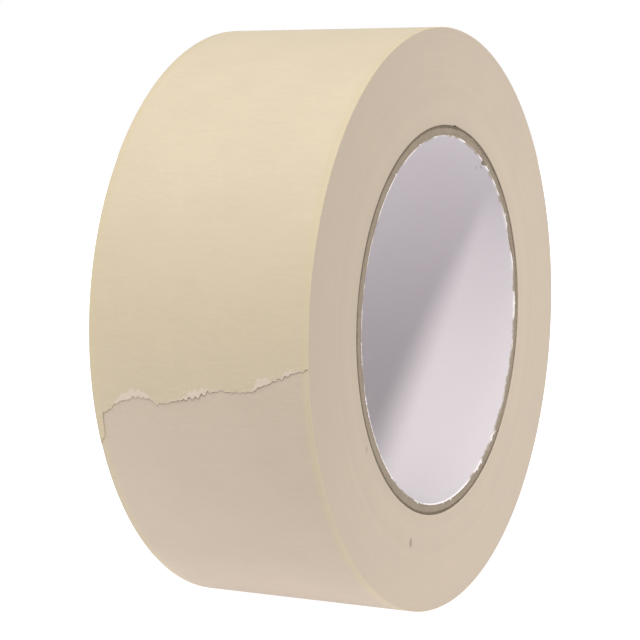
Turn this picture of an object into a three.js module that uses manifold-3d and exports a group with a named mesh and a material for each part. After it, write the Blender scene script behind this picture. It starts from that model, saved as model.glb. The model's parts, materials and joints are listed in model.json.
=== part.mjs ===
// A roll of creped-paper masking tape on a spiral-wound paperboard core, standing on its tread.
// Millimetres, +Z up. The roll's axis runs along X. The origin is on the ground, under the roll's middle.
// The tape comes over the top towards -Y and its torn end lies on the -Y side.
// Round surfaces have SIDES flats, each touching the true circle at its middle, and one flat is on the ground.

import * as THREE from "three";
import { mergeVertices } from "three/addons/utils/BufferGeometryUtils.js";
import Module from "manifold-3d";

const wasm = await Module();
wasm.setup();

// ---- Driving dimensions ----
const TAPE_WIDTH = 48; // a standard slit width
const BORE_RADIUS = 38.1; // a 3 inch core
const ROLL_RADIUS = 60.5; // 50 m of tape
const TAPE_THICKNESS = 0.13; // creped paper with its adhesive and release coat
const LINER_THICKNESS = 0.28; // the white paper inside the bore
const PLY_THICKNESS = 0.39; // one strip of kraft board
const PLY_COUNT = 5;
const GLUE_LINE = 0.02; // between plies, and between the core and the tape
const PLY_STRIP_WIDTH = 120; // the width of the strips that the core is wound from
const SEAM_GAP = 0.4; // between a strip's edges where one of its turns meets the next
const SIDES = 48;

// The free end of the tape, which lifts off the turn below it
const TAIL_FOLDS = 8;
const TAIL_CLEARANCE = 0.03; // under the free end
const FOLD_SLIT = 0.03; // at each end of a stretch of the free end
const TAIL_ROOT_SIDE = 4; // flats from the top of the roll to the free end's root
const TORN_END_SIDES = 4; // flats that the torn stretch may lie over

// ---- What follows from them ----
const SIDE_ANGLE = (2 * Math.PI) / SIDES;
const LINER_OUTER = BORE_RADIUS + LINER_THICKNESS;
const CORE_RADIUS = LINER_OUTER + PLY_COUNT * (GLUE_LINE + PLY_THICKNESS);
const WINDING_RADIUS = CORE_RADIUS + GLUE_LINE;
const TAIL_ROOT = (TAIL_ROOT_SIDE + 0.5) * SIDE_ANGLE;
const TORN_END_START = TAIL_ROOT + (TAIL_FOLDS - 1) * SIDE_ANGLE;
const TORN_END_LIMIT = TORN_END_START + TORN_END_SIDES * SIDE_ANGLE;
const FOLD_LENGTH = 2 * ROLL_RADIUS * Math.tan(SIDE_ANGLE / 2);
const CORNER_FACTOR = 1 / Math.cos(SIDE_ANGLE / 2); // a flat's corner is this much further out than its middle

// The seams of the core's strips climb at one lead. Each ply's seam is turned from its neighbours'.
const CORE_GIRTH = 2 * Math.PI * BORE_RADIUS;
const SEAM_LEAD = PLY_STRIP_WIDTH / Math.sqrt(1 - (PLY_STRIP_WIDTH / CORE_GIRTH) ** 2);
const SEAM_STAGGER = THREE.MathUtils.degToRad(60);
const LINER_SEAM = THREE.MathUtils.degToRad(88); // half way along the roll

// The tear, as [across the tape from its middle, along the tape from the last fold].
const TEAR = [
  [24, 8.4],
  [20.6, 9.4],
  [17.5, 10.7],
  [15, 11.7],
  [11.5, 13.4],
  [7.5, 13.7],
  [5, 13.5],
  [2.2, 14],
  [0, 15],
  [-3.7, 15.8],
  [-6.6, 16.6],
  [-9.5, 17.1],
  [-11.5, 15.9],
  [-14.5, 16],
  [-18.6, 17.4],
  [-20.3, 18.7],
  [-22.2, 20],
  [-22.6, 24.5],
  [-24, 26.5],
];

// Where the tape's inner end starts on the core, and the gap that the second turn leaves beside it
const INNER_END = THREE.MathUtils.degToRad(-6);
const INNER_END_GAP_HEIGHT = 0.3;

// ---- Materials ----
const crepe = new THREE.MeshStandardMaterial({ name: "crepe_tape", color: "#ddcba6", roughness: 0.75 });
const board = new THREE.MeshStandardMaterial({ name: "kraft_board", color: "#9c8a72", roughness: 0.9 });
const liner = new THREE.MeshStandardMaterial({ name: "white_liner", color: "#dcd6da", roughness: 0.6 });

// ---- Helpers. Profiles are drawn looking along -X: first coordinate Y, second Z, from the roll's axis. ----

// A point at an angle from straight up, turning towards -Y.
function polar(angle, radius) {
  return new THREE.Vector2(-radius * Math.sin(angle), radius * Math.cos(angle));
}

// The corners of a round outline, where radiusAt gives the radius at each corner's angle.
function roundOutline(radiusAt) {
  const corners = [];
  for (let side = 0; side < SIDES; side++) {
    const angle = (side + 0.5) * SIDE_ANGLE;
    corners.push(polar(angle, radiusAt(angle, side) * CORNER_FACTOR));
  }
  return corners;
}

// A profile drawn out along the roll's axis, from one face of the roll to the other.
function drawnOut(outline, holes = []) {
  const shape = new THREE.Shape(outline);
  for (const hole of holes) shape.holes.push(new THREE.Path(hole));
  const options = { depth: TAPE_WIDTH, bevelEnabled: false };
  return new THREE.ExtrudeGeometry(shape, options).translate(0, 0, -TAPE_WIDTH / 2);
}

function toSolid(geometry) {
  const bare = geometry.clone();
  bare.deleteAttribute("normal");
  bare.deleteAttribute("uv");
  const merged = mergeVertices(bare, 1e-4);
  return new wasm.Manifold(
    new wasm.Mesh({
      numProp: 3,
      vertProperties: merged.getAttribute("position").array,
      triVerts: new Uint32Array(merged.index.array),
    }),
  );
}

function toGeometry(solid) {
  const { vertProperties, triVerts } = solid.getMesh();
  const geometry = new THREE.BufferGeometry();
  geometry.setAttribute("position", new THREE.BufferAttribute(vertProperties, 3));
  geometry.setIndex(new THREE.BufferAttribute(triVerts, 1));
  geometry.computeVertexNormals();
  return geometry;
}

function piece(name, geometry, material) {
  const mesh = new THREE.Mesh(geometry, material);
  mesh.name = name;
  return mesh;
}

// ---- The core: strips of board wound in a helix, each turn butted against the last ----

// A thin helical blade that cuts a strip's seam, from one radius to another.
function seamBlade(innerRadius, outerRadius, startAngle) {
  const overrun = 1;
  const steps = 24;
  const half = SEAM_GAP / 2;
  const section = new THREE.Shape([
    new THREE.Vector2(-half, innerRadius - overrun),
    new THREE.Vector2(half, innerRadius - overrun),
    new THREE.Vector2(half, outerRadius + overrun),
    new THREE.Vector2(-half, outerRadius + overrun),
  ]);
  const length = TAPE_WIDTH + 2 * overrun;
  const blade = new THREE.ExtrudeGeometry(section, { depth: length, steps, bevelEnabled: false });
  blade.translate(0, 0, -length / 2);
  const position = blade.getAttribute("position");
  const point = new THREE.Vector3();
  const axis = new THREE.Vector3(0, 0, 1);
  for (let i = 0; i < position.count; i++) {
    point.fromBufferAttribute(position, i);
    point.applyAxisAngle(axis, startAngle + (2 * Math.PI * point.z) / SEAM_LEAD);
    position.setXYZ(i, point.x, point.y, point.z);
  }
  return blade;
}

function ply(name, innerRadius, thickness, seamAngle, material) {
  const outerRadius = innerRadius + thickness;
  const tube = drawnOut(
    roundOutline(() => outerRadius),
    [roundOutline(() => innerRadius)],
  );
  const blade = seamBlade(innerRadius, outerRadius, seamAngle);
  return piece(name, toGeometry(toSolid(tube).subtract(toSolid(blade))), material);
}

function core() {
  const group = new THREE.Group();
  group.add(ply("core_liner", BORE_RADIUS, LINER_THICKNESS, LINER_SEAM, liner));
  for (let i = 0; i < PLY_COUNT; i++) {
    const innerRadius = LINER_OUTER + GLUE_LINE + i * (PLY_THICKNESS + GLUE_LINE);
    const seamAngle = LINER_SEAM + (i + 1) * SEAM_STAGGER;
    group.add(ply("core_kraft_ply_" + (i + 1), innerRadius, PLY_THICKNESS, seamAngle, board));
  }
  return group;
}

// ---- The wound tape: all the turns that stay on the core ----

// The outside is a spiral: past the torn end the roll is one tape thickness smaller, and it grows back
// over the turn. Under the free end it is smaller by the free end's clearance too.
function windingOuterRadius(angle, side) {
  const underTail = side > TAIL_ROOT_SIDE && angle < TORN_END_LIMIT;
  if (underTail) return ROLL_RADIUS - TAPE_THICKNESS - TAIL_CLEARANCE;
  const turned = (angle - TORN_END_LIMIT + 4 * Math.PI) % (2 * Math.PI);
  return ROLL_RADIUS - TAPE_THICKNESS * (1 - turned / (2 * Math.PI));
}

function windingOutside() {
  const corners = roundOutline(windingOuterRadius);
  const stepFoot = polar(TAIL_ROOT, (ROLL_RADIUS - TAPE_THICKNESS - TAIL_CLEARANCE) * CORNER_FACTOR);
  corners.splice(TAIL_ROOT_SIDE + 1, 0, stepFoot);
  return corners;
}

// The first turn lies on the core. The second climbs over the inner end, and leaves a small gap before it.
function windingInside() {
  const corners = roundOutline(() => WINDING_RADIUS);
  const side = Math.round(INNER_END / SIDE_ANGLE - 0.5 + SIDES) % SIDES;
  const angle = (side + 0.5) * SIDE_ANGLE;
  const climbed = WINDING_RADIUS * CORNER_FACTOR + INNER_END_GAP_HEIGHT;
  corners.splice(side, 0, polar(angle, climbed));
  return corners;
}

// ---- The free end: flat stretches one side of the roll long, and the torn stretch that ends it ----

// A flat stretch, with its fold line at the origin, on its outer face.
function tailStretch(index) {
  const length = FOLD_LENGTH - 2 * FOLD_SLIT;
  const plate = new THREE.BoxGeometry(length, TAPE_THICKNESS, TAPE_WIDTH);
  plate.translate(-FOLD_LENGTH / 2, -TAPE_THICKNESS / 2, 0);
  return piece("tape_end_" + index, plate, crepe);
}

// The torn stretch, bent over its last flats and cut along the tear.
function tornStretch(index) {
  const outer = [];
  const inner = [];
  for (let i = 0; i <= TORN_END_SIDES; i++) {
    const angle = TORN_END_START + i * SIDE_ANGLE;
    outer.push(polar(angle, ROLL_RADIUS * CORNER_FACTOR));
    inner.unshift(polar(angle, (ROLL_RADIUS - TAPE_THICKNESS) * CORNER_FACTOR));
  }
  const strip = toSolid(drawnOut([...outer, ...inner]));
  return piece("tape_end_" + index, toGeometry(strip.intersect(tearTemplate())), crepe);
}

// A thick block that covers the torn stretch as far as the tear, standing square to the last fold's flat.
function tearTemplate() {
  const depth = 20;
  const outline = TEAR.map(([across, along]) => new THREE.Vector2(across, along));
  outline.push(new THREE.Vector2(-TAPE_WIDTH, outline.at(-1).y));
  outline.push(new THREE.Vector2(-TAPE_WIDTH, FOLD_SLIT));
  outline.push(new THREE.Vector2(TAPE_WIDTH, FOLD_SLIT));
  outline.push(new THREE.Vector2(TAPE_WIDTH, outline[0].y));
  const block = new THREE.ExtrudeGeometry(new THREE.Shape(outline), { depth, bevelEnabled: false });
  const middle = TORN_END_START + (TORN_END_SIDES / 2) * SIDE_ANGLE;
  const inwards = new THREE.Vector3(-polar(middle, 1).x, -polar(middle, 1).y, 0);
  const alongAxis = new THREE.Vector3(0, 0, 1);
  const alongTape = new THREE.Vector3().crossVectors(inwards, alongAxis);
  const lastFold = polar(TORN_END_START, ROLL_RADIUS * CORNER_FACTOR);
  block.translate(0, 0, -depth / 2);
  block.applyMatrix4(new THREE.Matrix4().makeBasis(alongAxis, alongTape, inwards));
  block.translate(lastFold.x, lastFold.y, 0);
  return toSolid(block);
}

// ---- The roll ----
const roll = new THREE.Group();
roll.add(core());
roll.add(piece("wound_tape", drawnOut(windingOutside(), [windingInside()]), crepe));
for (let i = 0; i < TAIL_FOLDS - 1; i++) {
  const stretch = tailStretch(i + 1);
  const angle = TAIL_ROOT + i * SIDE_ANGLE;
  const fold = polar(angle, ROLL_RADIUS * CORNER_FACTOR);
  stretch.position.set(fold.x, fold.y, 0);
  stretch.rotation.z = angle + SIDE_ANGLE / 2;
  roll.add(stretch);
}
roll.add(tornStretch(TAIL_FOLDS));

// The profiles' plane stands up, with its depth along X, and the lowest flat touches the ground.
const AXIS_HEIGHT = windingOuterRadius(Math.PI, SIDES / 2);
roll.quaternion.setFromRotationMatrix(
  new THREE.Matrix4().makeBasis(
    new THREE.Vector3(0, 1, 0),
    new THREE.Vector3(0, 0, 1),
    new THREE.Vector3(1, 0, 0),
  ),
);
roll.position.z = AXIS_HEIGHT;

const maskingTapeRoll = new THREE.Group();
maskingTapeRoll.add(roll);

export default maskingTapeRoll;
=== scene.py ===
"""Looks for the roll of masking tape.

The roll stands on its tread with its axis along X. Angles go round the axis from straight up towards -Y,
which is the way the tape runs to its free end. Lengths are in millimetres until a mesh is made.
"""

import json
import math

import bpy
import numpy as np
from mathutils import Matrix, Vector


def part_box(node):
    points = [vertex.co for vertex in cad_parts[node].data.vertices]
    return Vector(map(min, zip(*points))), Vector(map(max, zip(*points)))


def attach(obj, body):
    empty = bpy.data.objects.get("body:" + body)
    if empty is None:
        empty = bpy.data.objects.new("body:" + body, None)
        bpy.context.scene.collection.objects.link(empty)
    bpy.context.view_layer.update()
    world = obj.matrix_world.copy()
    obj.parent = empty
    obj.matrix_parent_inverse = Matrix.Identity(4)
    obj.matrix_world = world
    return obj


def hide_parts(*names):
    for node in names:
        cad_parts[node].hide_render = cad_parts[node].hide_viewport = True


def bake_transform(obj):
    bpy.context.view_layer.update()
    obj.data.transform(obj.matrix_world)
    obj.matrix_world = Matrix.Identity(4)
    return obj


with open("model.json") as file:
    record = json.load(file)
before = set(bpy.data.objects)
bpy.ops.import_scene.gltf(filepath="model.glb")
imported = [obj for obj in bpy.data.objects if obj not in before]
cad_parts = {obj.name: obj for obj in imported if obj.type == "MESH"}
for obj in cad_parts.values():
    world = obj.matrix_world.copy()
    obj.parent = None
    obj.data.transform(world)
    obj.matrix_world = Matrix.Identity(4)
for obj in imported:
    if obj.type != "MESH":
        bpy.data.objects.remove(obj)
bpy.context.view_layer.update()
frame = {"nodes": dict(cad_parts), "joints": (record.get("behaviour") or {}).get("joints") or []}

MM = 0.001
TURN = 2 * math.pi

# ---- Sizes that the frame gives ----
liner_low, liner_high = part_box("core_liner")
tape_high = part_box("wound_tape")[1]
tail_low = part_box("tape_end_8")[0]
AXIS_HEIGHT = (liner_low.z + liner_high.z) / 2 / MM
HALF_WIDTH = tape_high.x / MM
ROLL_RADIUS = -tail_low.y / MM
LINER_OUTER = (liner_high.z - liner_low.z) / 2 / MM
PLY_COUNT = sum(name.startswith("core_kraft_ply") for name in frame["nodes"])
FOLDS = [Vector(joint["pos_m"]) / MM for joint in frame["joints"]]
FOLD_ANGLES = [math.atan2(-fold.y, fold.z - AXIS_HEIGHT) for fold in FOLDS]
FOLD_STEP = FOLD_ANGLES[1] - FOLD_ANGLES[0]

# ---- Sizes that repeat the CAD model's, in millimetres ----
LINER_THICKNESS = 0.28
PLY_THICKNESS = 0.39
GLUE_LINE = 0.02
TAPE_THICKNESS = 0.13
CORE_GIRTH = TURN * (LINER_OUTER - LINER_THICKNESS)
PLY_STRIP_WIDTH = 120
SEAM_LEAD = PLY_STRIP_WIDTH / math.sqrt(1 - (PLY_STRIP_WIDTH / CORE_GIRTH) ** 2)
LINER_SEAM = math.radians(88)  # where the liner's seam crosses the middle of the roll's width
SEAM_STAGGER = math.radians(60)  # from each seam to the next ply's
INNER_END = math.radians(-6)  # where the tape starts on the core
# The tear, as (across the roll from its middle, along the tape from the last fold)
TEAR = [
    (24, 8.4), (20.6, 9.4), (17.5, 10.7), (15, 11.7), (11.5, 13.4), (7.5, 13.7), (5, 13.5),
    (2.2, 14), (0, 15), (-3.7, 15.8), (-6.6, 16.6), (-9.5, 17.1), (-11.5, 15.9),
    (-14.5, 16), (-18.6, 17.4), (-20.3, 18.7), (-22.2, 20), (-22.6, 24.5), (-24, 26.5),
]

# Patches by the tear where the paper's upper layer came away, as (x, half width, length)
FRAYED_PATCHES = [(-15, 3.6, 1.9), (-0.5, 2.6, 1.5), (13.8, 1.8, 1.8), (19.5, 1.2, 0.8)]
# Shreds that stand out of the liner's edges, in tufts as (angle in degrees, spread, count), and elsewhere
SHRED_TUFTS = [(98, 7, 16), (215, 6, 8)]
STRAY_SHREDS = 70
TEAR_FIBRES = 260
# Specks on the side of the roll, as (angle in degrees, radius, size, darkness)
SPECKS = [
    (160.7, 46.85, 0.62, 0.62),
    (122, 42.4, 0.5, 0.28),
    (248, 55.0, 0.2, 0.2),
    (35, 51.0, 0.15, 0.18),
]

CORE_RADIUS = LINER_OUTER + PLY_COUNT * (GLUE_LINE + PLY_THICKNESS)
SPIRAL_END = FOLD_ANGLES[-1] + 4 * FOLD_STEP  # where the outside of the roll reaches its full radius
TAIL_START = FOLD_ANGLES[0]  # where the free end's own mesh begins
THINNING = math.radians(0.9)  # the angle over which it grows to its thickness
FILM = 0.115  # the free end's thickness, with the rest of the tape's as clearance under it
CORNER = 0.1  # the rounding of the tape's edges where they were crushed
CORNER_PROFILE = CORNER * np.array([0.0, 0.12, 0.4, 1.0])  # columns of points across the rounding
CURL_REACH = 3.2  # how far back from the tear the free end curls
WRINKLE_REACH = 5.0  # and how far back it is wrinkled
TORN_SLOT = 2  # where the torn fibres are among the last stretch's materials
FLOOR_SHADE_START = 70  # how far in front of the origin the floor's glow starts to fall off to grey, a painted shade
FLOOR_SHADE_FADE = 70  # over what distance it does so


# ---- Meshes ----

def ripple(t, frequencies, rng):
    """A wavy line along t, from about -1 to 1, made of these frequencies."""
    phases = rng.uniform(0, TURN, len(frequencies))
    waves = [np.cos(TURN * f * t + p) for f, p in zip(frequencies, phases)]
    return np.clip(np.sum(waves, axis=0) / math.sqrt(len(frequencies)), -1.6, 1.6) / 1.6


def smooth(t):
    """0 to 1, levelling off at both ends."""
    t = np.clip(t, 0, 1)
    return t * t * (3 - 2 * t)


def on_roll(x, angle, radius):
    """Points round the roll's axis, in metres, in the row's frame."""
    x, angle, radius = np.broadcast_arrays(x, angle, radius)
    y = -radius * np.sin(angle)
    z = AXIS_HEIGHT + radius * np.cos(angle)
    return np.stack([x, y, z], axis=-1) * MM


def volume(vertices, faces):
    """A number with the sign of the volume inside the faces, which is negative if they face inwards."""
    a, b, c, d = (vertices[faces[:, i]] for i in range(4))
    return np.einsum("ij,ij->", a, np.cross(b, c)) + np.einsum("ij,ij->", a, np.cross(c, d))


def part(loops, edge_slots=None, cap_slot=0, closed=False):
    """The vertices, faces and material slots of a solid through a row of loops.

    Unless the row itself closes, ladders of faces cap its ends, so each loop is then two matched rows of
    points. edge_slots gives the material slot of each edge of a loop.
    """
    stations, points = loops.shape[:2]
    index = np.arange(stations * points).reshape(stations, points)
    after = np.roll(index, -1, axis=1)
    following = np.roll(index, -1, axis=0)
    last = stations if closed else stations - 1
    opposite = np.roll(following, -1, axis=1)
    faces = np.stack([index, after, opposite, following], axis=-1)[:last].reshape(-1, 4)
    slots = np.tile(np.zeros(points, int) if edge_slots is None else np.array(edge_slots), last)
    if not closed:
        rung = np.arange(points // 2 - 1)
        ladder = np.stack([rung, points - 1 - rung, points - 2 - rung, rung + 1], axis=-1)
        faces = np.concatenate([faces, ladder[:, ::-1], ladder + (stations - 1) * points])
        slots = np.concatenate([slots, np.full(2 * len(ladder), cap_slot)])
    vertices = loops.reshape(-1, 3)
    if volume(vertices - vertices.mean(axis=0), faces) < 0:
        faces = faces[:, ::-1]
    return vertices, faces, slots


def build(name, parts, materials, sharp=40):
    """One object that holds these parts, whose edges of over so many degrees stay sharp."""
    starts = np.cumsum([0] + [len(vertices) for vertices, _, _ in parts])
    vertices = np.concatenate([vertices for vertices, _, _ in parts])
    faces = np.concatenate([faces + start for (_, faces, _), start in zip(parts, starts)])
    slots = np.concatenate([slots for _, _, slots in parts])
    mesh = bpy.data.meshes.new(name)
    mesh.from_pydata(vertices.tolist(), [], faces.tolist())
    for material in materials:
        mesh.materials.append(material)
    mesh.polygons.foreach_set("material_index", slots.astype(np.int32))
    mesh.polygons.foreach_set("use_smooth", np.ones(len(faces), bool))
    mesh.set_sharp_from_angle(angle=math.radians(sharp))
    mesh.update()
    piece = bpy.data.objects.new(name, mesh)
    bpy.context.scene.collection.objects.link(piece)
    return piece


# ---- Materials ----

class Nodes:
    """A node tree, and short calls for the nodes that the world and the materials share."""

    def __init__(self, owner):
        owner.use_nodes = True
        self.nodes = owner.node_tree.nodes
        self.links = owner.node_tree.links

    def feed(self, socket, value):
        """Links another node's output to the socket, or sets the socket's own value."""
        if isinstance(value, bpy.types.NodeSocket):
            self.links.new(value, socket)
        else:
            socket.default_value = value

    def math(self, operation, *values):
        """A sum on numbers, each of which is a value or another node's output."""
        node = self.nodes.new("ShaderNodeMath")
        node.operation = operation
        for socket, value in zip(node.inputs, values):
            self.feed(socket, value)
        return node.outputs[0]

    def vector_math(self, operation, *values):
        """A sum on vectors or colours."""
        node = self.nodes.new("ShaderNodeVectorMath")
        node.operation = operation
        for socket, value in zip(node.inputs, values):
            self.feed(socket, value)
        return node.outputs["Value" if operation in ("LENGTH", "DOT_PRODUCT") else "Vector"]

    def band(self, value, start, end):
        """0 below start and 1 above end, and smooth in between."""
        node = self.nodes.new("ShaderNodeMapRange")
        node.interpolation_type = "SMOOTHSTEP"
        self.feed(node.inputs["Value"], value)
        node.inputs["From Min"].default_value = start
        node.inputs["From Max"].default_value = end
        return node.outputs["Result"]

    def blend(self, share, a, b):
        """Colour a where share is 0, b where it is 1."""
        node = self.nodes.new("ShaderNodeMix")
        node.data_type = "RGBA"
        self.feed(node.inputs["Factor"], share)
        self.feed(node.inputs[6], a)
        self.feed(node.inputs[7], b)
        return node.outputs[2]


class Shader(Nodes):
    """A new material with a Principled shader, and short calls for the nodes that feed it."""

    def __init__(self, name, roughness, specular=0.5):
        self.material = bpy.data.materials.new(name)
        super().__init__(self.material)
        self.surface = self.nodes["Principled BSDF"]
        self.surface.inputs["Roughness"].default_value = roughness
        self.surface.inputs["Specular IOR Level"].default_value = specular
        coordinates = self.nodes.new("ShaderNodeTexCoord")
        self.place = self.vector_math("MULTIPLY", coordinates.outputs["Object"], (1 / MM,) * 3)

    def axis(self, name):
        """One coordinate of the surface in the row's frame, in millimetres."""
        node = self.nodes.new("ShaderNodeSeparateXYZ")
        self.links.new(self.place, node.inputs[0])
        return node.outputs[name]

    def radius(self):
        """The distance from the roll's axis, in millimetres."""
        from_axis = self.vector_math("SUBTRACT", self.place, (0, 0, AXIS_HEIGHT))
        flat = self.vector_math("MULTIPLY", from_axis, (0, 1, 1))
        return self.vector_math("LENGTH", flat)

    def noise(self, per_mm, detail=2.0, roughness=0.5):
        """A noise from 0 to 1. per_mm is its scale along X and round the roll."""
        along, round_it = per_mm
        node = self.nodes.new("ShaderNodeTexNoise")
        node.inputs["Scale"].default_value = 1.0
        node.inputs["Detail"].default_value = detail
        node.inputs["Roughness"].default_value = roughness
        stretched = self.vector_math("MULTIPLY", self.place, (along, round_it, round_it))
        self.links.new(stretched, node.inputs["Vector"])
        return node.outputs["Fac"]

    def rings(self, radius, per_mm, detail=2.0):
        """A noise from 0 to 1 that changes only with the radius."""
        node = self.nodes.new("ShaderNodeTexNoise")
        node.noise_dimensions = "1D"
        node.inputs["Scale"].default_value = per_mm
        node.inputs["Detail"].default_value = detail
        self.links.new(radius, node.inputs["W"])
        return node.outputs["Fac"]

    def vary(self, color, value, amount):
        """The colour made up to that share lighter or darker by a value from 0 to 1."""
        gain = self.math("MULTIPLY_ADD", value, 2 * amount, 1 - amount)
        return self.vector_math("MULTIPLY", color, gain)

    def color(self, value):
        """Makes this the surface's colour."""
        self.links.new(value, self.surface.inputs["Base Color"])

    def bump(self, height, depth_mm, strength=1.0):
        """Adds to the surface's relief, over any bump that is there."""
        node = self.nodes.new("ShaderNodeBump")
        node.inputs["Strength"].default_value = strength
        node.inputs["Distance"].default_value = depth_mm * MM
        self.links.new(height, node.inputs["Height"])
        normal = self.surface.inputs["Normal"]
        if normal.is_linked:
            self.links.new(normal.links[0].from_socket, node.inputs["Normal"])
        self.links.new(node.outputs["Normal"], normal)


WRINKLES = (0.35, 2.2)  # the scale of the creping per millimetre along X and round the roll
# A mottled material lies between its two tones
UPPER_CREPE = (0.645, 0.543, 0.396, 1)
# The two lower tones are the upper one darkened, a painted shade towards the bottom of the roll; the one for
# the covered turns is also pinker, the tape's own tint there
SHADED_LOWER_CREPE = (0.575, 0.482, 0.345, 1)
SHADED_LOWER_WOUND_CREPE = (0.56, 0.463, 0.362, 1)
CREPE_EDGE = (0.62, 0.52, 0.33, 1)
ADHESIVE_TONES = (0.60, 0.47, 0.27, 1), (0.66, 0.54, 0.34, 1)
EDGE_TONES = (0.49, 0.405, 0.322, 1), (0.52, 0.430, 0.335, 1)
SPECK_BROWN = (0.20, 0.155, 0.115, 1)
BOARD_TONES = (0.275, 0.222, 0.165, 1), (0.345, 0.282, 0.215, 1)
BOARD_RIM = (0.12, 0.093, 0.066, 1)
LINER_TONES = (0.615, 0.570, 0.585, 1), (0.64, 0.593, 0.605, 1)
# The liner's cut edge: a board brown, and a white lighter than the paper that is a painted highlight along
# the lit edge
LINER_CUT_BROWN_AND_HIGHLIGHT = (0.34, 0.28, 0.21, 1), (0.84, 0.785, 0.765, 1)
TORN_TONES = (0.61, 0.50, 0.405, 1), (0.68, 0.57, 0.47, 1)


def crepe_material(name, shaded_low_tint):
    """The back of the tape: creped paper whose fine wrinkles run across the tape, under a release coat.

    The paper takes the low tint towards the bottom of the roll, which stands in for the photo's shading.
    """
    crepe = Shader(name, roughness=0.62, specular=0.28)
    wrinkles = crepe.noise(WRINKLES, detail=3.0)
    streaks = crepe.noise((0.06, 0.5), detail=2.0)
    mottle = crepe.noise((0.09, 0.09), detail=3.0)
    fibres = crepe.noise((1.3, 1.3), detail=4.0, roughness=0.65)
    from_middle = crepe.math("ABSOLUTE", crepe.axis("X"))
    near_edge = crepe.band(from_middle, HALF_WIDTH - 2.2, HALF_WIDTH - 0.8)
    # Darker towards the bottom of the roll: painted shade
    height = crepe.band(crepe.axis("Z"), AXIS_HEIGHT - 15, AXIS_HEIGHT + 40)
    tinted = crepe.blend(height, shaded_low_tint, UPPER_CREPE)
    tinted = crepe.blend(crepe.math("MULTIPLY", near_edge, 0.4), tinted, CREPE_EDGE)
    tinted = crepe.vary(tinted, mottle, 0.035)
    tinted = crepe.vary(tinted, streaks, 0.02)
    tinted = crepe.vary(tinted, fibres, 0.03)
    crepe.color(crepe.vary(tinted, wrinkles, 0.045))
    crepe.bump(wrinkles, 0.05, 0.55)
    crepe.bump(fibres, 0.02, 0.3)
    return crepe.material


def adhesive_material():
    """The inner face of the tape, with its thin coat of rubber adhesive."""
    adhesive = Shader("adhesive_face", roughness=0.34, specular=0.45)
    wrinkles = adhesive.noise(WRINKLES, detail=3.0)
    mottle = adhesive.noise((0.15, 0.15), detail=3.0)
    tinted = adhesive.blend(mottle, *ADHESIVE_TONES)
    adhesive.color(adhesive.vary(tinted, wrinkles, 0.05))
    adhesive.bump(wrinkles, 0.04, 0.5)
    return adhesive.material


def edges_material():
    """The side of the roll: the slit edges of all the turns, packed together."""
    edges = Shader("wound_edges", roughness=0.8, specular=0.2)
    radius = edges.radius()
    turns = edges.rings(radius, 3.2, detail=3.0)
    bands = edges.rings(radius, 0.35, detail=2.0)
    mottle = edges.noise((0.1, 0.1), detail=3.0)
    grain = edges.noise((2.0, 2.0), detail=3.0, roughness=0.6)
    tinted = edges.blend(mottle, *EDGE_TONES)
    tinted = edges.vary(tinted, turns, 0.03)
    tinted = edges.vary(tinted, bands, 0.03)
    tinted = edges.vary(tinted, grain, 0.03)
    for degrees, place_radius, size, depth in SPECKS:
        centre = on_roll(HALF_WIDTH, math.radians(degrees), place_radius) / MM
        away = edges.vector_math("SUBTRACT", edges.place, tuple(centre))
        squeezed = edges.vector_math("MULTIPLY", away, (1, 1.25, 0.7))
        wobble = edges.math("MULTIPLY_ADD", grain, 0.5, edges.vector_math("LENGTH", squeezed))
        inside = edges.band(wobble, size + 0.6, size)
        tinted = edges.blend(edges.math("MULTIPLY", inside, depth), tinted, SPECK_BROWN)
    edges.color(tinted)
    edges.bump(turns, 0.03, 0.5)
    edges.bump(grain, 0.02, 0.35)
    return edges.material


def board_material():
    """Cut grey-brown kraft board in uneven rings, darker at its rim."""
    board = Shader("kraft_board", roughness=0.9, specular=0.15)
    radius = board.radius()
    plies = board.rings(radius, 1.9, detail=1.0)
    fibres = board.noise((1.6, 1.6), detail=4.0, roughness=0.7)
    mottle = board.noise((0.25, 0.25), detail=2.0)
    ragged = board.math("MULTIPLY_ADD", board.noise((0.8, 0.8), detail=3.0), 0.7, radius)
    rim = board.band(ragged, CORE_RADIUS - 0.40, CORE_RADIUS + 0.10)
    tinted = board.blend(mottle, *BOARD_TONES)
    tinted = board.blend(board.math("MULTIPLY", rim, 0.75), tinted, BOARD_RIM)
    tinted = board.vary(tinted, plies, 0.14)
    board.color(board.vary(tinted, fibres, 0.16))
    board.bump(fibres, 0.08, 0.6)
    return board.material


def liner_material():
    """The smooth white paper inside the bore, brown or white where it is cut; that white is lighter than the
    paper, a painted highlight along the lit cut edge.
    """
    liner = Shader("white_liner", roughness=0.55, specular=0.3)
    mottle = liner.noise((0.05, 0.05), detail=3.0)
    fibres = liner.noise((1.5, 1.5), detail=3.0, roughness=0.6)
    tinted = liner.blend(mottle, *LINER_TONES)
    from_middle = liner.math("ABSOLUTE", liner.axis("X"))
    fluff = liner.math("MULTIPLY_ADD", liner.noise((0.9, 0.9), detail=3.0), 0.8, from_middle)
    cut = liner.band(fluff, HALF_WIDTH - 0.15, HALF_WIDTH + 0.25)
    # The white patches along the cut are painted lighter than the paper: a painted highlight on the lit cut
    # edge
    lifted_and_highlit = liner.band(liner.noise((0.16, 0.16), detail=2.0), 0.42, 0.56)
    cut_color_and_highlight = liner.blend(lifted_and_highlit, *LINER_CUT_BROWN_AND_HIGHLIGHT)
    tinted = liner.blend(cut, tinted, cut_color_and_highlight)
    liner.color(liner.vary(tinted, fibres, 0.02))
    liner.bump(fibres, 0.02, 0.3)
    return liner.material


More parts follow.
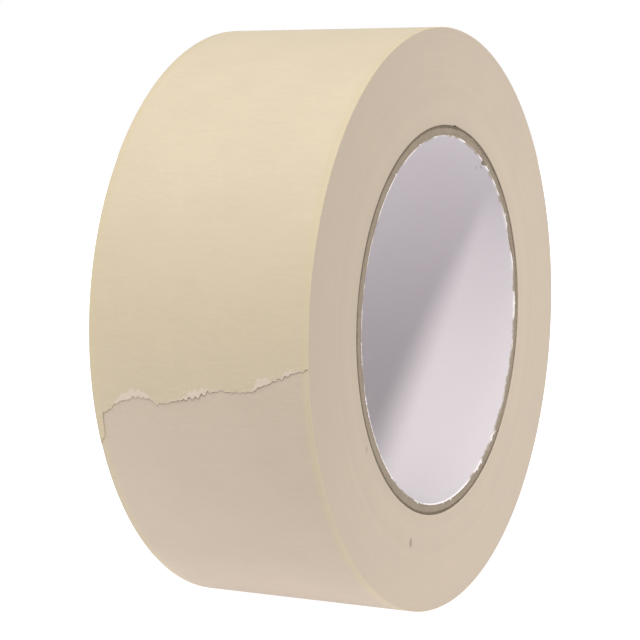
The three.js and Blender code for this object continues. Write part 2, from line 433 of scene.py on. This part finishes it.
def torn_material():
    """The bare, paler fibres where the paper is torn."""
    torn = Shader("torn_fibres", roughness=0.85, specular=0.15)
    fibres = torn.noise((1.2, 3.0), detail=3.0, roughness=0.65)
    torn.color(torn.blend(fibres, *TORN_TONES))
    torn.bump(fibres, 0.05, 0.6)
    return torn.material


CREPE = crepe_material("crepe_paper", SHADED_LOWER_CREPE)
COVERED_CREPE = crepe_material("crepe_paper_below", SHADED_LOWER_WOUND_CREPE)
ADHESIVE = adhesive_material()
EDGES = edges_material()
BOARD = board_material()
LINER = liner_material()
TORN = torn_material()


# ---- The core ----

def helical_tube(inner, outer, seam, inset, gap=0.25, lengthwise=24, columns=720):
    """A strip wound once round in a helix, with its edges a gap apart.

    inset(angle, outermost, plus_x) is how far a cut end lies inside the roll's face.
    """
    share = np.linspace(-1, 1, lengthwise)
    x_share = np.concatenate([share, share[::-1]])
    outermost = np.repeat([False, True], lengthwise)
    half_gap = gap / inner / 2
    round_it = np.linspace(half_gap, TURN - half_gap, columns)[:, None]
    angle = seam + x_share * HALF_WIDTH / SEAM_LEAD * TURN + round_it
    x = x_share * (HALF_WIDTH - inset(angle, outermost, x_share > 0))
    return part(on_roll(x, angle, np.where(outermost, outer, inner)))


def rough_cut(rng, worn):
    """The rough, slightly recessed cut end of a ply, worn away this much more on its outer side."""
    recess = 0.12 + 0.05 * rng.random()
    slow = rng.integers(2, 12, 6)
    fast = rng.integers(60, 330, 24)
    seed = rng.integers(1 << 30)

    def inset(angle, outermost, plus_x):
        waves = np.random.default_rng(seed)
        turns = angle / TURN
        inner_cut = 0.05 * ripple(turns, slow, waves) + 0.035 * ripple(turns, fast, waves)
        outer_cut = inner_cut + 0.05 + 0.03 * ripple(turns, fast, waves)
        return recess + np.where(outermost, outer_cut + worn, inner_cut)

    return inset


def board_plies():
    """The kraft plies, a little uneven from one to the next."""
    rng = np.random.default_rng(11)
    for i in range(PLY_COUNT):
        inner = LINER_OUTER + GLUE_LINE + i * (PLY_THICKNESS + GLUE_LINE)
        inset = rough_cut(rng, worn=0.1 if i == PLY_COUNT - 1 else 0.0)
        seam = LINER_SEAM + (i + 1) * SEAM_STAGGER
        tube = helical_tube(inner, inner + PLY_THICKNESS, seam, inset)
        ply = build(f"core_board_ply_{i + 1}", [tube], [BOARD])
        keep(ply, "roll", f"core_kraft_ply_{i + 1}")


def liner_edge(angle, plus_x):
    """How far the liner's ragged edge lies inside the roll's face."""
    rng = np.random.default_rng(23)
    turns = angle / TURN
    ragged = 0.06 * (1 + ripple(turns, rng.integers(50, 340, 30), rng))
    torn_back = 0.32 * smooth(2.4 * ripple(turns + 0.1, rng.integers(3, 26, 8), rng) - 0.8)
    nick_at = math.radians(-32.5)
    off = (angle - nick_at + math.pi) % TURN - math.pi
    nick = 0.9 * np.exp(-((off * CORE_RADIUS / 0.9) ** 2))
    return 0.06 + ragged + torn_back + np.where(plus_x, nick, 0)


def liner_tube():
    """The liner itself, without its shreds."""
    def inset(angle, outermost, plus_x):
        return liner_edge(angle, plus_x) + np.where(outermost, 0.0, 0.05)

    inner = LINER_OUTER - LINER_THICKNESS
    return helical_tube(inner, LINER_OUTER, LINER_SEAM, inset, lengthwise=40, columns=1000)


def liner_frays():
    """Shreds of the liner that its cutter left turned out over the board."""
    rng = np.random.default_rng(31)
    angles = list(rng.uniform(0, TURN, STRAY_SHREDS))
    for degrees, spread, count in SHRED_TUFTS:
        angles += list(np.radians(rng.normal(degrees, spread, count)))
    return [shred(angle, rng) for angle in angles]


def shred(angle, rng):
    """One tapered shred, mostly on the +X side."""
    side = 1 if rng.random() < 0.75 else -1
    length = rng.uniform(0.12, 0.55)
    width = rng.uniform(0.15, 0.8)
    lean = rng.normal(0, 0.5)
    along = np.linspace(0, 1, 5)[:, None]
    half = width / 2 * (1 - along) ** 0.6 + 0.015
    across = np.array([-1.0, 0.0, 1.0, 1.0, 0.0, -1.0])
    thickness = np.repeat([0.0, 0.04], 3)
    radius = LINER_OUTER - 0.1 + along * length
    around = angle + (across * half + lean * along * length) / radius
    x = HALF_WIDTH - 0.11 + 0.06 * along**2 * rng.uniform(0.3, 1) + thickness
    return part(on_roll(side * x, around, radius))


def core_liner():
    """The liner with its shreds, as one piece."""
    liner = build("core_white_liner", [liner_tube()] + liner_frays(), [LINER])
    keep(liner, "roll", "core_liner")


# ---- The tape ----

def spiral_radius(angle):
    """The outside of the outermost turn, where angle runs on past a whole turn."""
    return ROLL_RADIUS - TAPE_THICKNESS * (SPIRAL_END - angle) / TURN


def crushed_corner(from_face):
    """How far the tape's back is rounded off at this distance from the roll's face."""
    return CORNER * (1 - np.sqrt(np.clip(1 - (1 - np.clip(from_face / CORNER, 0, 1)) ** 2, 0, 1)))


def columns_across(count):
    """The columns of points across the tape's back, which are closer together at its rounded edges."""
    inner = np.linspace(-HALF_WIDTH, HALF_WIDTH, count)[1:-1]
    return np.concatenate([CORNER_PROFILE - HALF_WIDTH, inner, HALF_WIDTH - CORNER_PROFILE[::-1]])


def side_relief(turn_number, seed):
    """How far each turn's slit edge lies inside the roll's face."""
    rng = np.random.default_rng(seed)
    fine = ripple(turn_number, rng.uniform(0.05, 0.16, 16), rng)
    broad = ripple(turn_number, rng.uniform(0.01, 0.03, 5), rng)
    return 0.012 * (1 + fine) + 0.02 * (1 + broad)


def inner_step(angle):
    """How far the winding stands off the core beside the tape's inner end, over a wedge of air."""
    before_end = (INNER_END + TURN - angle) % TURN
    wedge_length = math.radians(5.5)
    wedge_height = 0.3
    return wedge_height * np.clip(1 - before_end / wedge_length, 0, 1) ** 1.5


def winding_sides(angle, outermost, inside):
    """The x and radius of points from the tread down the +X side, and back up the -X side."""
    depth = np.linspace(0, 1, 50)[1:]
    side = np.concatenate([depth[:-1], [0.993, 1.0]])
    radius = outermost + (inside - outermost) * side
    turn_number = (radius - CORE_RADIUS) / TAPE_THICKNESS + angle / TURN
    inner_corner = 0.12 * smooth((side - 0.985) / 0.015)
    right_x = HALF_WIDTH - side_relief(turn_number, 43) - inner_corner
    left_x = HALF_WIDTH - side_relief(turn_number, 47) - inner_corner
    x = np.concatenate([right_x, -left_x[:, ::-1]], axis=1)
    return x, np.concatenate([radius, radius[:, ::-1]], axis=1)


def wound_tape():
    """All the turns below the free end, which dip a little under its thin start."""
    regular = TAIL_START + np.linspace(0, TURN, 721)[:-1]
    angle = np.unique(np.concatenate([regular, TAIL_START + THINNING * np.linspace(0, 1, 4)]))[:, None]
    covered = smooth((angle - TAIL_START) / THINNING)
    outside = spiral_radius(angle - TURN) * covered + spiral_radius(angle) * (1 - covered)

    tread = columns_across(35)
    rng = np.random.default_rng(41)
    dip = 0.02 * (1 + ripple(angle / TURN, rng.integers(8, 40, 10), rng))
    tread_radius = outside - crushed_corner(HALF_WIDTH - np.abs(tread)) - dip * (1 - covered)
    tread_x = np.broadcast_to(tread, tread_radius.shape)

    inside = CORE_RADIUS + GLUE_LINE + inner_step(angle)
    sides_x, sides_radius = winding_sides(angle, outside - CORNER, inside)
    x = np.concatenate([tread_x, sides_x], axis=1)
    radius = np.concatenate([tread_radius, sides_radius], axis=1)
    edge_slots = [0] * (len(tread) - 1) + [1] * (sides_x.shape[1] + 1)
    loops = on_roll(x, angle, radius)
    winding = build("tape_winding", [part(loops, edge_slots, closed=True)], [COVERED_CREPE, EDGES], sharp=50)
    keep(winding, "roll", "wound_tape")


def tear_line(x, rng):
    """How far along the tape from the last fold the tear lies, with its fine teeth."""
    across, along = np.array(sorted(TEAR)).T
    teeth = 0.30 * ripple(x, rng.uniform(0.25, 0.9, 18), rng)
    fuzz = 0.10 * ripple(x, rng.uniform(1.2, 2.4, 14), rng)
    return np.interp(x, across, along) + teeth + fuzz


def strip(angle, x, lift, thickness):
    """A part of the free end: rows of points along it, over its back and back under its adhesive face."""
    back = spiral_radius(angle) - crushed_corner(HALF_WIDTH - np.abs(x)) + lift
    under = spiral_radius(angle) + lift - thickness
    under = np.minimum(under, back - 0.004)
    radius = np.concatenate([back, under[:, ::-1]], axis=1)
    both = np.concatenate([x, x[:, ::-1]], axis=1)
    angles = np.concatenate([angle, angle[:, ::-1]], axis=1)
    return on_roll(both, angles, radius)


def strip_slots(points, back, edge, face):
    """The material slots along a loop of the free end: its back, its slit edges and its adhesive face."""
    return [back] * (points - 1) + [edge] + [face] * (points - 1) + [edge]


def fold_piece(index):
    """The stretch of the free end from one fold line to the next."""
    start = FOLD_ANGLES[index]
    end = FOLD_ANGLES[index + 1]
    columns = columns_across(97)
    angle, x = np.meshgrid(np.linspace(start, end, 17), columns, indexing="ij")
    thickness = FILM * np.ones_like(angle)
    if index == 0:
        thickness = FILM * smooth((angle - start) / THINNING)
    loops = strip(angle, x, 0.0, thickness)
    slots = strip_slots(len(columns), back=0, edge=2, face=1)
    piece = build(f"tape_free_end_{index + 1}", [part(loops, slots, cap_slot=2)], [CREPE, ADHESIVE, EDGES])
    bend(piece, index, start, end)


def tear_lift(columns, along, left, rng):
    """How far the free end stands off the roll near the tear, where it curls and wrinkles."""
    curl = 0.05 + 0.11 * ripple(columns, rng.uniform(0.02, 0.09, 8), rng)
    curl = np.clip(curl + 0.04 * ripple(columns, rng.uniform(0.2, 0.5, 8), rng), 0, None)
    wrinkle = 0.02 * (1 + ripple(columns * 0.35 + along * 1.1, rng.uniform(0.3, 0.9, 8), rng))
    curled = curl * np.clip(1 - left / CURL_REACH, 0, 1) ** 2
    return curled + wrinkle * np.clip(1 - left / WRINKLE_REACH, 0, 1)


def torn_piece(index):
    """The last stretch, which runs from the last fold line to the tear."""
    rng = np.random.default_rng(53)
    start = FOLD_ANGLES[index]
    columns = columns_across(321)
    tear = tear_line(columns, rng)
    rows = np.linspace(0, 1, 46)[:, None] ** 0.7
    along = tear * rows
    x = np.broadcast_to(columns, along.shape)
    left = tear - along
    lift = tear_lift(columns, along, left, rng)
    thickness = FILM * (0.25 + 0.75 * smooth(left / 0.6))
    angle = start + along / ROLL_RADIUS
    loops = strip(angle, x, lift, thickness)
    slots = strip_slots(len(columns), back=0, edge=3, face=1)
    body = part(loops, slots, cap_slot=TORN_SLOT)
    body = bare_tear(body, len(rows), len(columns), left[:-1, :-1] < frayed_width(columns, rng)[:-1])
    materials = [CREPE, ADHESIVE, TORN, EDGES]
    fibres = tear_fibres(rng, tear, columns, start)
    piece = build(f"tape_free_end_{index + 1}", [body] + fibres, materials)
    bend(piece, index, start, start + FOLD_STEP)


def bare_tear(body, rows, columns, bare):
    """Gives the faces close to the tear the torn fibres' slot."""
    vertices, faces, slots = body
    slots = slots.copy()
    points = 2 * columns
    on_back = slots[: (rows - 1) * points].reshape(rows - 1, points)
    on_back[:, : columns - 1][bare] = TORN_SLOT
    return vertices, faces, slots


def frayed_width(x, rng):
    """How far back from the tear the paper's upper layer is gone."""
    width = 0.22 + 0.12 * ripple(x, rng.uniform(0.1, 0.6, 12), rng)
    for middle, reach, depth in FRAYED_PATCHES:
        patch = np.exp(-(((x - middle) / reach) ** 4))
        width = width + depth * patch * (0.75 + 0.3 * ripple(x, rng.uniform(0.15, 0.55, 6), rng))
    return width


def tear_fibres(rng, tear, columns, last_fold):
    """Paper fibres that stand out of the tear."""
    return [tear_fibre(rng, tear, columns, last_fold) for _ in range(TEAR_FIBRES)]


def tear_fibre(rng, tear, columns, last_fold):
    """One fibre, four-sided, thinner towards its tip and rooted just inside the tear."""
    x = rng.uniform(-HALF_WIDTH + 0.4, HALF_WIDTH - 0.4)
    start = np.interp(x, columns, tear) - 0.1
    length = rng.uniform(0.12, 0.45)
    lean = rng.normal(0, 0.55)
    rise = rng.uniform(-0.05, 0.3)
    t = np.linspace(0, 1, 4)[:, None]
    corner = np.array([-1.0, 1.0, 1.0, -1.0])
    above = np.array([0.0, 0.0, 1.0, 1.0])
    half = 0.022 * (1.1 - t)
    across = x + lean * length * t + corner * half
    along = start + length * t * (1 - 0.2 * t)
    angle = last_fold + along / ROLL_RADIUS
    radius = spiral_radius(angle) + 0.02 + rise * length * t + above * half * 1.5
    vertices, faces, slots = part(on_roll(across, angle, radius))
    return vertices, faces, np.full_like(slots, TORN_SLOT)


def bend(piece, index, start, end):
    """Bakes a stretch's place into its mesh and hides the CAD node that it takes the place of."""
    after = f"tape_end_{index + 1}"
    ends = [Vector(on_roll(0.0, angle, ROLL_RADIUS)) for angle in (start, end)]
    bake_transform(piece)
    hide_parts(after)


def keep(piece, body, node):
    """Puts a piece on its body, in the place of the CAD node."""
    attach(piece, body)
    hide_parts(node)


board_plies()
core_liner()
wound_tape()
for fold in range(len(FOLDS) - 1):
    fold_piece(fold)
torn_piece(len(FOLDS) - 1)


# ---- Floor, light and camera ----

FLOOR_FORWARD = (0.35, -0.94, 0)  # the way the floor's glow falls off to grey, a painted shade in front of the roll
# The floor's glow: white, a brighter painted pool of light to the left, and painted shade in front
FLOOR_GLOW = (0.90, 0.90, 0.93, 1)
FLOOR_LEFT_GLOW_POOL = (1.30, 1.32, 1.40, 1)
FLOOR_FRONT_PAINTED_SHADE = (0.19, 0.19, 0.19, 1)
FLOOR_PAINT = (0.30, 0.30, 0.30, 1)
STUDIO_DARK = (0.05, 0.05, 0.05, 1)
STUDIO_GREY = (0.48, 0.50, 0.51, 1)
STUDIO_SIDES = (0.75, 0.75, 0.74, 1)
STUDIO_WHITE = (1.0, 1.0, 1.02, 1)


def floor():
    """A glowing floor, though it is no lamp: white, brightest to the roll's left as a painted pool of light,
    and falling off to pale grey in front of it as painted shade.
    """
    ground = bpy.data.meshes.new("floor")
    reach = 6.0  # in metres, as the places of the lights are
    corners = [(-reach, -reach, 0), (reach, -reach, 0), (reach, reach, 0), (-reach, reach, 0)]
    ground.from_pydata(corners, [], [(0, 1, 2, 3)])
    sheet = Shader("glowing_floor", roughness=0.85, specular=0.0)
    # Grey in front of the roll: painted shade
    forward = sheet.vector_math("DOT_PRODUCT", sheet.place, FLOOR_FORWARD)
    front = sheet.band(forward, FLOOR_SHADE_START, FLOOR_SHADE_START + FLOOR_SHADE_FADE)
    # Brighter to the roll's left: a painted pool of light
    left = sheet.band(sheet.axis("X"), -10.0, -90.0)
    glow = sheet.blend(left, FLOOR_GLOW, FLOOR_LEFT_GLOW_POOL)
    glow = sheet.blend(front, glow, FLOOR_FRONT_PAINTED_SHADE)
    sheet.links.new(glow, sheet.surface.inputs["Emission Color"])
    sheet.surface.inputs["Emission Strength"].default_value = 1.0
    sheet.surface.inputs["Base Color"].default_value = FLOOR_PAINT
    ground.materials.append(sheet.material)
    plane = bpy.data.objects.new("floor", ground)
    bpy.context.scene.collection.objects.link(plane)


def surroundings():
    """A studio that is dark in front of the roll, grey above it, paler beside it and white low behind it."""
    world = bpy.data.worlds.new("studio")
    sky = Nodes(world)
    direction = sky.nodes.new("ShaderNodeTexCoord").outputs["Generated"]
    away = sky.vector_math("ABSOLUTE", direction)
    sideways = sky.vector_math("DOT_PRODUCT", away, (0.9, 0, 0))
    raised = sky.vector_math("DOT_PRODUCT", direction, (0, 1.0, 0.8))
    raised = sky.band(sky.math("ADD", raised, sideways), -0.4, 0.6)
    behind = sky.band(sky.vector_math("DOT_PRODUCT", direction, (0, 1.0, -1.0)), 0.1, 0.7)
    tone = sky.blend(raised, STUDIO_DARK, STUDIO_GREY)
    sides = sky.band(sideways, 0.45, 0.85)
    tone = sky.blend(sides, tone, STUDIO_SIDES)
    tone = sky.blend(behind, tone, STUDIO_WHITE)
    sky.links.new(tone, sky.nodes["Background"].inputs["Color"])
    bpy.context.scene.world = world


def aim(thing, place, target):
    """Puts a light at a place and points it at the target."""
    thing.location = place
    thing.rotation_mode = "QUATERNION"
    thing.rotation_quaternion = (Vector(place) - Vector(target)).to_track_quat("Z", "Y")


def lamp(name, kind, power, place, target, size=None, angle=None):
    """A light of this kind. size is an area light's width, and angle is how wide the sun looks."""
    data = bpy.data.lights.new(name, kind)
    data.energy = power
    if size:
        data.shape = "DISK"
        data.size = size
    if angle:
        data.angle = angle
    light = bpy.data.objects.new(name, data)
    bpy.context.scene.collection.objects.link(light)
    aim(light, place, target)


def lights():
    """The key light, a fill in front and a small one for the upper part of the side face."""
    middle = (0, 0, AXIS_HEIGHT * MM)
    key_from = Vector((0.309, -0.695, 0.649))
    lamp("key", "SUN", 2.0, Vector(middle) + key_from * 2, middle, angle=math.radians(7))
    lamp("front", "AREA", 2.1, (0, -0.50, 0.91), middle, size=0.3)
    lamp("side", "AREA", 0.055, (0.17, 0.04, 0.105), (0.024, 0, 0.08), size=0.06)


def camera():
    """Looks at the +X face from the front, a little from above."""
    azimuth, elevation, roll = math.radians(27.60), math.radians(5.07), math.radians(0.20)
    distance, aside, raised = 450.0, -25.81, 0.07
    focal_length = 121.8
    back = Vector((
        math.sin(azimuth) * math.cos(elevation),
        -math.cos(azimuth) * math.cos(elevation),
        math.sin(elevation),
    ))
    level = Vector((math.cos(azimuth), math.sin(azimuth), 0))
    upright = back.cross(level)
    right = level * math.cos(roll) + upright * math.sin(roll)
    up = upright * math.cos(roll) - level * math.sin(roll)
    face = Vector((HALF_WIDTH, 0, AXIS_HEIGHT))
    eye = face + back * distance + right * aside + up * raised
    data = bpy.data.cameras.new("camera")
    data.sensor_width = 36
    data.lens = focal_length
    data.clip_start = 0.01
    data.clip_end = 50
    view = bpy.data.objects.new("camera", data)
    bpy.context.scene.collection.objects.link(view)
    view.matrix_world = Matrix.Translation(eye * MM) @ Matrix((right, up, back)).transposed().to_4x4()
    bpy.context.scene.camera = view


floor()
surroundings()
lights()
camera()
bpy.context.scene.view_settings.view_transform = "Standard"
